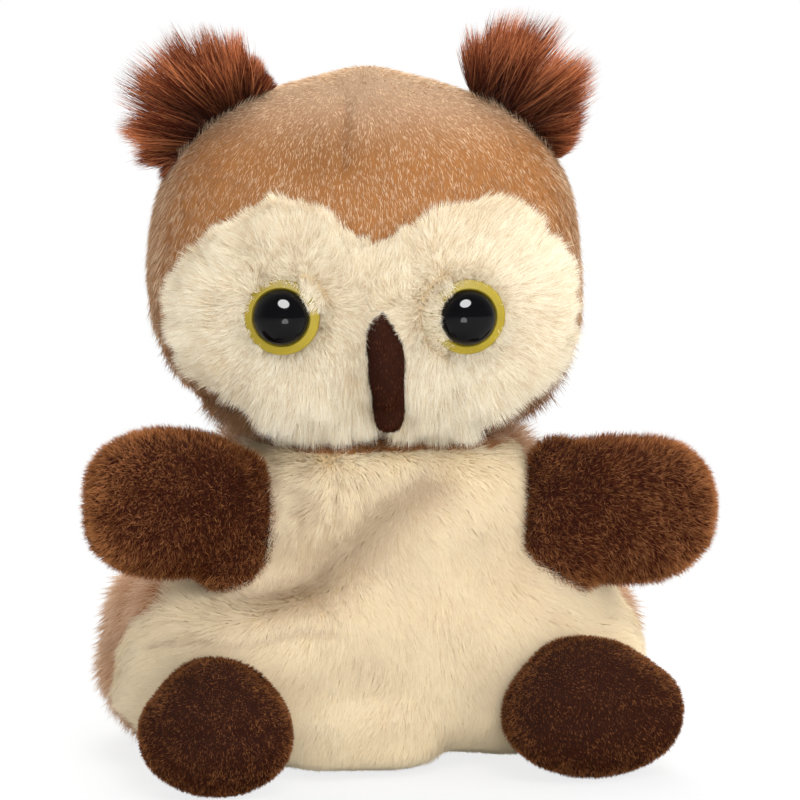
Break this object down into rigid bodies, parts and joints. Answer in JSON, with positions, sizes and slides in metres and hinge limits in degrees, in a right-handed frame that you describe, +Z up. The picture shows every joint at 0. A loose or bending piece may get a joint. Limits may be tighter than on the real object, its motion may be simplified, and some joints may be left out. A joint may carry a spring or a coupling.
{
  "type": "plush owl",
  "caption": "Sitting plush owl with long-pile face, ear tufts, moulded eyes, sewn beak, stubby wings and round feet, over stuffing and a pellet bag.",
  "frame": {"origin": "middle of the outline on the floor that the owl sits on", "axes": "+Z up, the owl faces -Y, +X to the viewer's right"},
  "size_m": [0.1, 0.07, 0.1178],
  "materials": {
    "cream_pile": "long cream pile",
    "tan_pile": "short tan pile",
    "nape_pile": "brown-tan pile",
    "wing_pile": "dark brown pile",
    "foot_pile": "very short dark brown pile",
    "tuft_hair": "long reddish brown hair",
    "iris_plastic": "satin yellow plastic",
    "pupil_plastic": "polished black plastic",
    "washer_plastic": "natural plastic",
    "stuffing": "white polyester fibre",
    "pellets": "cloth bag of plastic pellets"
  },
  "bodies": {
    "torso": {"belly_panel": "cream_pile", "back_panel_left": "tan_pile", "back_panel_right": "tan_pile", "pellet_bag": "pellets", "body_fill": "stuffing"},
    "neck": {"neck_skin": "tan_pile", "neck_fill": "stuffing"},
    "head": {"face_panel": "cream_pile", "crown_panel": "tan_pile", "head_back_left": "nape_pile", "head_back_right": "nape_pile", "head_fill": "stuffing", "ear_tuft_left": "tuft_hair", "ear_tuft_right": "tuft_hair", "beak_skin": "foot_pile", "beak_fill": "stuffing", "eye_left_iris": "iris_plastic", "eye_left_pupil": "pupil_plastic", "eye_left_washer": "washer_plastic", "eye_right_iris": "iris_plastic", "eye_right_pupil": "pupil_plastic", "eye_right_washer": "washer_plastic"},
    "wing_left": {"wing_left_front": "wing_pile", "wing_left_back": "wing_pile", "wing_left_fill": "stuffing"},
    "wing_right": {"wing_right_front": "wing_pile", "wing_right_back": "wing_pile", "wing_right_fill": "stuffing"},
    "foot_left": {"foot_left_sole": "foot_pile", "foot_left_upper": "foot_pile", "foot_left_fill": "stuffing"},
    "foot_right": {"foot_right_sole": "foot_pile", "foot_right_upper": "foot_pile", "foot_right_fill": "stuffing"}
  },
  "joints": [
    {"name": "head_turn", "type": "hinge", "parent": "torso", "child": "neck", "pos_m": [-0.00122, 0.00637, 0.053], "axis": [0, 0, 1], "range_deg": [-35, 35]},
    {"name": "head_nod", "type": "hinge", "parent": "neck", "child": "head", "pos_m": [-0.00122, 0.00637, 0.053], "axis": [0.989, -0.1478, 0], "range_deg": [-12, 12]},
    {"name": "wing_left_swing", "type": "hinge", "parent": "torso", "child": "wing_left", "pos_m": [-0.02282, -0.01063, 0.041], "axis": [0.1392, 0, 0.9903], "range_deg": [-30, 35]},
    {"name": "wing_right_swing", "type": "hinge", "parent": "torso", "child": "wing_right", "pos_m": [0.02278, -0.01063, 0.041], "axis": [0.0349, 0, 0.9994], "range_deg": [-35, 30]},
    {"name": "foot_left_flop", "type": "hinge", "parent": "torso", "child": "foot_left", "pos_m": [-0.03122, -0.01963, 0.015], "axis": [1, 0, 0], "range_deg": [-35, 4]},
    {"name": "foot_right_flop", "type": "hinge", "parent": "torso", "child": "foot_right", "pos_m": [0.02878, -0.01963, 0.015], "axis": [1, 0, 0], "range_deg": [-35, 4]}
  ]
}
